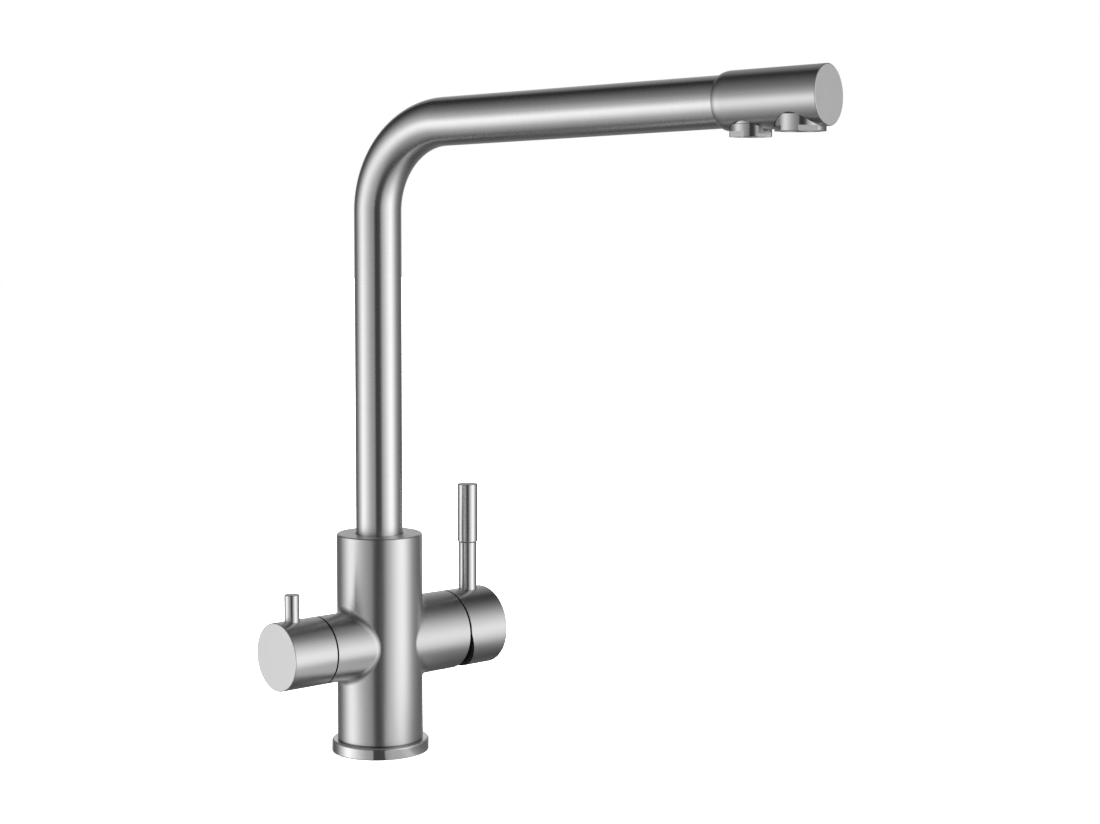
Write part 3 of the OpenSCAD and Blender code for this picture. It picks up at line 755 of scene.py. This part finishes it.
# Filter knob and its pin
at_pin = shift(-PIN_X, 0, 0)
knob = turned("filter_knob", "filter_handle", steel, [
    (0, SPINDLE_END, 0), (SPINDLE_R + FIT, SPINDLE_END, 0), (SPINDLE_R + FIT, KNOB_FLOOR, 0),
    (KNOB_IN, KNOB_FLOOR, KNOB_FLOOR_EDGE), (KNOB_IN, KNOB_REAR, MOUTH_EDGE),
    (KNOB_R, KNOB_REAR, REAR_EDGE), (KNOB_R, KNOB_END, END_EDGE), (0, KNOB_END, 0),
], BACK_X, handle_holes(PIN_R, PIN_PEG_R, PIN_PEG_L, PIN_SEAT, PIN_TOP, KNOB_R, at_pin), LARGE_STEPS)
paint(knob, ENDS, flat_at(KNOB_END))
# Painted shade: the knob's hollow is black
paint(knob, DARK, bored(KNOB_IN, KNOB_REAR, KNOB_FLOOR))

pin = turned("filter_pin", "filter_handle", tube_steel, [
    (0, PIN_SEAT - PIN_PEG_L, 0), (PIN_PEG_R, PIN_SEAT - PIN_PEG_L, PIN_PEG_EDGE),
    (PIN_PEG_R, PIN_SEAT, 0), (PIN_R, PIN_SEAT, 0), (PIN_R, PIN_TOP, PIN_EDGE), (0, PIN_TOP, 0),
], at_pin, steps=SMALL_STEPS, ends=shaded_tip_steel)
# Painted shade: the pin's top takes the darker tip steel
paint(pin, ENDS, flat_at(PIN_TOP))

# Mixer cap with the stem's square hole, lever rod and grip sleeve
at_rod = shift(ROD_X, 0, 0)
wide = 2 * CAP_R
stem = STEM_HALF + FIT
wedge = shift(CAP_REAR, 0, HANDLE_Z + WEDGE_RISE) @ turn(-WEDGE, "Y")
cap = turned("mixer_cap", "mixer_handle", steel, [
    (0, CAP_FLOOR, 0), (CAP_IN, CAP_FLOOR, CAP_FLOOR_EDGE), (CAP_IN, CAP_REAR, MOUTH_EDGE),
    (CAP_R, CAP_REAR, REAR_EDGE), (CAP_R, CAP_END, END_EDGE), (0, CAP_END, 0),
], ALONG_X, [
    block((-wide, -wide, -wide), (0, wide, 0), wedge),
    block((CAP_FLOOR - OVER, -stem, -stem), (STEM_END, stem, stem), shift(0, 0, HANDLE_Z)),
    *handle_holes(ROD_R, ROD_PEG_R, ROD_PEG_L, ROD_SEAT, ROD_SEAT + CLEAR, CAP_R, at_rod),
], LARGE_STEPS)
paint(cap, ENDS, flat_at(CAP_END))
# Painted shade: the cap's hollow, its rear face and its slanted cut are black
paint(cap, DARK, bored(CAP_IN, CAP_REAR, CAP_FLOOR))
paint(cap, DARK, wedged)

core_top = SLEEVE_TOP - SLEEVE_CROWN - CORE_ROOM
rod = turned("lever_rod", "mixer_handle", tube_steel, [
    (0, ROD_SEAT - ROD_PEG_L, 0), (ROD_PEG_R, ROD_SEAT - ROD_PEG_L, ROD_PEG_EDGE),
    (ROD_PEG_R, ROD_SEAT, 0), (ROD_R, ROD_SEAT, 0), (ROD_R, SLEEVE_Z, ROD_EDGE), (CORE_R, SLEEVE_Z, 0),
    (CORE_R, core_top, CORE_EDGE), (0, core_top, 0),
], at_rod, steps=SMALL_STEPS)
# Painted shade: the rod's shoulder under the sleeve is black, for the seam
paint(rod, DARK, flat_at(SLEEVE_Z))

sleeve_low = SLEEVE_Z + SEAM
sleeve_in = CORE_R + FIT
sleeve = turned("lever_sleeve", "mixer_handle", tube_steel, [
    (0, SLEEVE_TOP - SLEEVE_CROWN, 0), (sleeve_in, SLEEVE_TOP - SLEEVE_CROWN, 0),
    (sleeve_in, sleeve_low, 0), (SLEEVE_R, sleeve_low, SLEEVE_EDGE),
    (SLEEVE_R, SLEEVE_TOP, SLEEVE_EDGE), (0, SLEEVE_TOP, 0),
], at_rod, steps=SMALL_STEPS, ends=shaded_tip_steel)
# Painted shade: the sleeve's top takes the darker tip steel
paint(sleeve, ENDS, flat_at(SLEEVE_TOP))
# Painted shade: the sleeve's foot is black, for the seam
paint(sleeve, DARK, flat_at(sleeve_low))

# Outlet head, with the holes of its two barrels and the waterways to them
at_filter = upright(FILTER["at"])
at_aerator = upright(AERATOR["at"])
at_line = ARM @ shift(LINE_DROP, 0, 0)
at_mixed = ARM @ shift(-MIXED_RISE, 0, 0)
shoulder = []
for step in range(1, SHOULDER_STEPS + 1):
    angle = math.radians(90 * step / SHOULDER_STEPS)
    rise = (HEAD_R - TUBE_R) * math.sin(angle)
    shoulder.append((TUBE_R + rise, HEAD_AT + SHOULDER_L * (1 - math.cos(angle)), 0))


def seat_bores(outlet, place):
    """Cutters for a barrel's seat in the head and for the waterway above it."""
    return [
        bar(outlet["radius"] + BARREL_GAP, -CLEAR, outlet["seat"], place),
        bar(outlet["radius"] - SEAT_LIP, outlet["seat"] - OVER, outlet["way"], place),
    ]


head = turned("outlet_head", "spout", shaded_head_steel, [
    (0, HEAD_AT - SPIGOT_L, 0), (SPIGOT_R, HEAD_AT - SPIGOT_L, SPIGOT_EDGE),
    (SPIGOT_R, HEAD_AT - O_RING_FROM, 0), (O_RING_R, HEAD_AT - O_RING_FROM, 0),
    (O_RING_R, HEAD_AT - O_RING_TO, 0), (SPIGOT_R, HEAD_AT - O_RING_TO, 0),
    (SPIGOT_R, HEAD_AT + FIT, 0), (TUBE_R - TUBE_EDGE, HEAD_AT + FIT, 0), *shoulder,
    (HEAD_R, REACH, NOSE_EDGE), (0, REACH, 0),
], ARM, [
    *seat_bores(FILTER, at_filter),
    *seat_bores(AERATOR, at_aerator),
    bar(LINE_R + FIT, HEAD_AT - SPIGOT_L - OVER, HEAD_AT - LINE_SEAT, at_line),
    bar(LINE_BORE, HEAD_AT - LINE_SEAT - OVER, FILTER["at"], at_line),
    bar(MIXED_BORE, HEAD_AT - SPIGOT_L - OVER, AERATOR["at"], at_mixed),
], LARGE_STEPS, ends=nose_steel)
paint(head, ENDS, flat_at(REACH))


def barrel(node, outlet, place):
    """Outlet barrel with a lip and four flats at its lower end, and a neck above if it has one."""
    radius = outlet["radius"]
    top = outlet["top"]
    low = -outlet["drop"]
    across = outlet["across"]
    lip = radius - LIP_W
    shank = top - outlet["neck"]
    neck_r = radius - NECK_IN
    bore_r = radius - BARREL_WALL
    corners = [(lip, low, LIP_EDGE), (radius, low, BARREL_EDGE), (radius, shank, SHANK_EDGE)]
    if outlet["neck"]:
        corners += [(neck_r, shank, 0), (neck_r, top, NECK_EDGE)]
    corners += [(bore_r, top, 0), (bore_r, low + LIP_H, 0), (lip, low + LIP_H, 0)]
    cutters = []
    for side in range(4):
        flat = place @ turn(outlet["flats"] + 90 * side, "Z")
        cutters.append(block((across / 2, -across, low - OVER), (across, across, low + FLAT_H), flat))
    turned(node, "spout", barrel_steel, corners, place, cutters, loop=True)


barrel("aerator_barrel", AERATOR, at_aerator)
barrel("filter_barrel", FILTER, at_filter)


def tube_path():
    """Frames along the tube's centre line, each with the way gone to it in millimetres."""
    swing = 90 - ARM_RISE
    tangent = BEND_R * math.tan(math.radians(swing / 2))
    top = ARM_Z - tangent
    bend_l = math.radians(swing) * BEND_R
    spots = [(shift(0, 0, TUBE_Z), 0.0), (shift(0, 0, TUBE_Z + TUBE_EDGE), TUBE_EDGE)]
    for step in range(BEND_STEPS + 1):
        bent = turn(swing * step / BEND_STEPS, "Y")
        pivot = shift(BEND_R, 0, top) @ bent @ shift(-BEND_R, 0, 0)
        spots.append((pivot, top - TUBE_Z + bend_l * step / BEND_STEPS))
    end, way = spots[-1]
    straight = HEAD_AT - SEAM - tangent
    for along in (straight - TUBE_EDGE, straight):
        spots.append((end @ shift(0, 0, along), way + along))
    return spots


def drawn_tube(name):
    """Bent tube with its wall, from the foot's seam to the head."""
    shape = bmesh.new()
    layer = shape.loops.layers.uv.new("brush")
    path = tube_path()
    rows = [(TUBE_R, spot, way) for spot, way in path]
    for end in (0, -1):
        rows[end] = (TUBE_R - TUBE_EDGE, *path[end])
    length = path[-1][1]
    rows += [(TUBE_IN, spot, 2 * length - way) for spot, way in reversed(path)]
    rings = []
    travel = []
    for radius, spot, way in rows:
        ring = []
        for angle in angles(STEPS):
            offset = Vector((math.cos(angle), math.sin(angle), 0)) * radius * MM
            ring.append(shape.verts.new(spot @ offset))
        rings.append(ring)
        travel.append(way * MM)
    travel.append(travel[-1] + MM)
    skin(shape, layer, rings, travel, True)
    piece = put(name, shape, SPOUT)
    piece.data.set_sharp_from_angle(angle=math.radians(TUBE_SHARP))
    return piece


tube = drawn_tube("spout_tube_drawn")
dress(tube, "spout", tube_steel, "spout_tube")


def weld(name, radius, way):
    """Fillet of the weld between the column and a side cylinder, with its root inside both."""
    shape = bmesh.new()
    layer = shape.loops.layers.uv.new("brush")
    rings = [[] for _ in range(WELD_ROWS + 1)]
    for angle in angles(WELD_STEPS):
        y = (radius + WELD_R) * math.cos(angle)
        z = (radius + WELD_R) * math.sin(angle)
        x = way * math.sqrt((COLUMN_R + WELD_R) ** 2 - y ** 2)
        centre = Vector((x, y, HANDLE_Z + z))
        to_column = -Vector((x, y, 0)).normalized()
        to_side = -Vector((0, math.cos(angle), math.sin(angle)))
        half = to_column.angle(to_side) / 2
        for row in range(WELD_ROWS):
            ray = to_column.slerp(to_side, row / (WELD_ROWS - 1))
            rings[row].append((centre + ray * WELD_R, -ray))
        root = (to_column + to_side).normalized() * (WELD_R / math.cos(half) + WELD_ROOT)
        rings[-1].append((centre + root, -root))
    made = []
    lean = []
    for ring in rings:
        made.append([shape.verts.new(spot * MM) for spot, _ in ring])
        lean += [normal for _, normal in ring]
    travel = [WELD_ROW * MM * row for row in range(WELD_ROWS + 2)]
    skin(shape, layer, made, travel, True)
    piece = put(name, shape, Matrix.Identity(4))
    mesh = piece.data
    mesh.set_sharp_from_angle(angle=math.radians(WELD_SHARP))
    normals = [Vector(corner.vector) for corner in mesh.corner_normals]
    for face in mesh.polygons:
        if max(face.vertices) < WELD_ROWS * WELD_STEPS:
            for index in face.loop_indices:
                normals[index] = lean[mesh.loops[index].vertex_index]
    mesh.normals_split_custom_set(normals)
    return piece


dress(weld("mixer_weld", CAP_R, 1), "tap_body", steel)
dress(weld("filter_weld", KNOB_R, -1), "tap_body", steel)

# Studio

# Light levels around the tap: degrees from the camera's side, to its left below zero
AROUND = [
    (-180, 0.6), (-160, 0.35), (-147, 0.06), (-124, 0.17), (-104, 0.58), (-90, 0.96), (-80, 1.04),
    (-66, 0.82), (-55, 0.62), (-44, 0.47), (-34, 0.37), (-18, 0.28), (-16, 0.05), (11, 0.05), (13, 0.18),
    (24, 0.39), (34, 0.52), (46, 0.74), (58, 0.88), (68, 0.88), (78, 0.66), (90, 0.4), (104, 0.19),
    (125, 0.1), (145, 0.07), (160, 0.35), (180, 0.6),
]
# Light levels from straight below to straight above, on the left and on the right
UPWARD_LEFT = [
    (-90, 0.07), (-66, 0.17), (-41, 0.36), (-30, 0.6), (-19, 0.84), (-8, 0.95), (0, 0.76), (12, 0.42),
    (33, 0.18), (55, 0.09), (75, 0.05), (90, 0.05),
]
UPWARD_RIGHT = [
    (-90, 0.09), (-66, 0.25), (-42, 0.47), (-28, 0.72), (-18, 0.92), (-8, 1.0), (2, 1.0), (12, 0.86),
    (24, 0.7), (38, 0.48), (50, 0.3), (75, 0.08), (90, 0.05),
]
# The same behind the tap, and the stretch around it that counts as behind
UPWARD_BACK = [
    (-90, 0.05), (-40, 0.15), (-20, 0.3), (-8, 0.42), (0, 0.58), (9, 0.72), (20, 0.62), (40, 0.3),
    (90, 0.05),
]
BEHIND = [(-180, 1.0), (-164, 1.0), (-146, 0.0), (146, 0.0), (164, 1.0), (180, 1.0)]
STUDIO_LEVEL = 1.8
# Floor: half its side in metres, and its cells
FLOOR_HALF = 6
FLOOR_CELLS = 8
# Card under the floor beside the base: its height in millimetres, how far it is full and where it
# ends, in metres, then where it covers the floor and how bright it is, in degrees as above
CARD_Z = -1.0
CARD_FULL = 0.06
CARD_END = 0.15
CARD_COVER = [(-180, 0.0), (6, 0.0), (9, 1.0), (104, 1.0), (124, 0.0), (180, 0.0)]
CARD_LEVELS = [
    (-180, 0.47), (10, 0.47), (18, 0.6), (34, 0.65), (42, 0.77), (50, 0.77), (59, 0.44), (70, 0.3),
    (82, 0.21), (100, 0.17), (180, 0.17),
]
# Light from above: strength, width and turn in degrees
SUN_LEVEL = 12
SUN_WIDTH = 70
SUN_TURN = (8, -6, 0)
# Camera, solved from the photo's outlines: place in metres, turn in degrees, lens in millimetres
CAMERA_AT = (-0.672936, -0.894496, 0.292664)
CAMERA_TURN = (84.40811, -0.15796, -41.62262)
CAMERA_LENS = 68.7334
CAMERA_SENSOR = 36
CAMERA_NEAR = 0.01

scene = bpy.context.scene
scene.view_settings.view_transform = "Standard"


def studio():
    """Soft boxes left and right with a dark gap behind the camera; white to the camera itself."""
    world = bpy.data.worlds.new("studio")
    scene.world = world
    world.use_nodes = True
    web = Nodes(world.node_tree)
    x, y, z = web.split(web.node("ShaderNodeTexCoord").outputs["Generated"])
    around = web.around(x, y)
    upward = web.math("ADD", web.math("DIVIDE", web.math("ARCSINE", z), math.pi), 0.5)
    right = web.math("GREATER_THAN", around, 0.5)
    sides = web.mix("FLOAT", right, web.ramp(upward, UPWARD_LEFT), web.ramp(upward, UPWARD_RIGHT))
    heights = web.mix("FLOAT", web.ramp(around, BEHIND), sides, web.ramp(upward, UPWARD_BACK))
    light = web.tree.nodes["Background"]
    web.link(web.times(web.ramp(around, AROUND), heights), light.inputs["Color"])
    light.inputs["Strength"].default_value = STUDIO_LEVEL
    white = web.node("ShaderNodeBackground")
    white.inputs["Color"].default_value = (1, 1, 1, 1)
    seen = web.node("ShaderNodeLightPath").outputs["Is Camera Ray"]
    web.surface(seen, light.outputs[0], white.outputs[0], "World Output")


def sheet(name, half, place):
    """Level square, with half its side given in metres."""
    shape = bmesh.new()
    bmesh.ops.create_grid(shape, x_segments=FLOOR_CELLS, y_segments=FLOOR_CELLS, size=half)
    return put(name, shape, place)


def floor_card():
    """Patch of dim floor to the right of the base, seen by reflections alone."""
    card = sheet("floor_card", CARD_END, shift(0, 0, CARD_Z))
    shade = Shade("dim_floor")
    x, y, _ = shade.split(shade.place())
    near = shade.remap(shade.far(x, y), CARD_END, CARD_FULL, kind="SMOOTHSTEP")
    around = shade.around(x, y)
    cover = shade.times(near, shade.ramp(around, CARD_COVER))
    glow = shade.node("ShaderNodeEmission")
    shade.link(shade.ramp(around, CARD_LEVELS), glow.inputs["Color"])
    clear = shade.node("ShaderNodeBsdfTransparent")
    shade.surface(cover, clear.outputs[0], glow.outputs[0], "Material Output")
    card.data.materials.append(shade.material)
    for kind in ("camera", "diffuse", "transmission", "volume_scatter", "shadow"):
        setattr(card, "visible_" + kind, False)


studio()

floor = sheet("floor", FLOOR_HALF, Matrix.Identity(4))
floor.data.materials.append(grained("pale_floor", (0.88, 0.88, 0.88), (0.9, 0.9, 0.9), 0.9, 300, 0.02))
floor.visible_glossy = False

floor_card()

sun = bpy.data.objects.new("overhead", bpy.data.lights.new("overhead", "SUN"))
sun.data.energy = SUN_LEVEL
sun.data.angle = math.radians(SUN_WIDTH)
sun.rotation_euler = [math.radians(angle) for angle in SUN_TURN]
sun.visible_glossy = False
scene.collection.objects.link(sun)

camera = bpy.data.objects.new("camera", bpy.data.cameras.new("camera"))
camera.data.sensor_width = CAMERA_SENSOR
camera.data.lens = CAMERA_LENS
camera.data.clip_start = CAMERA_NEAR
camera.location = CAMERA_AT
camera.rotation_euler = [math.radians(angle) for angle in CAMERA_TURN]
scene.collection.objects.link(camera)
scene.camera = camera
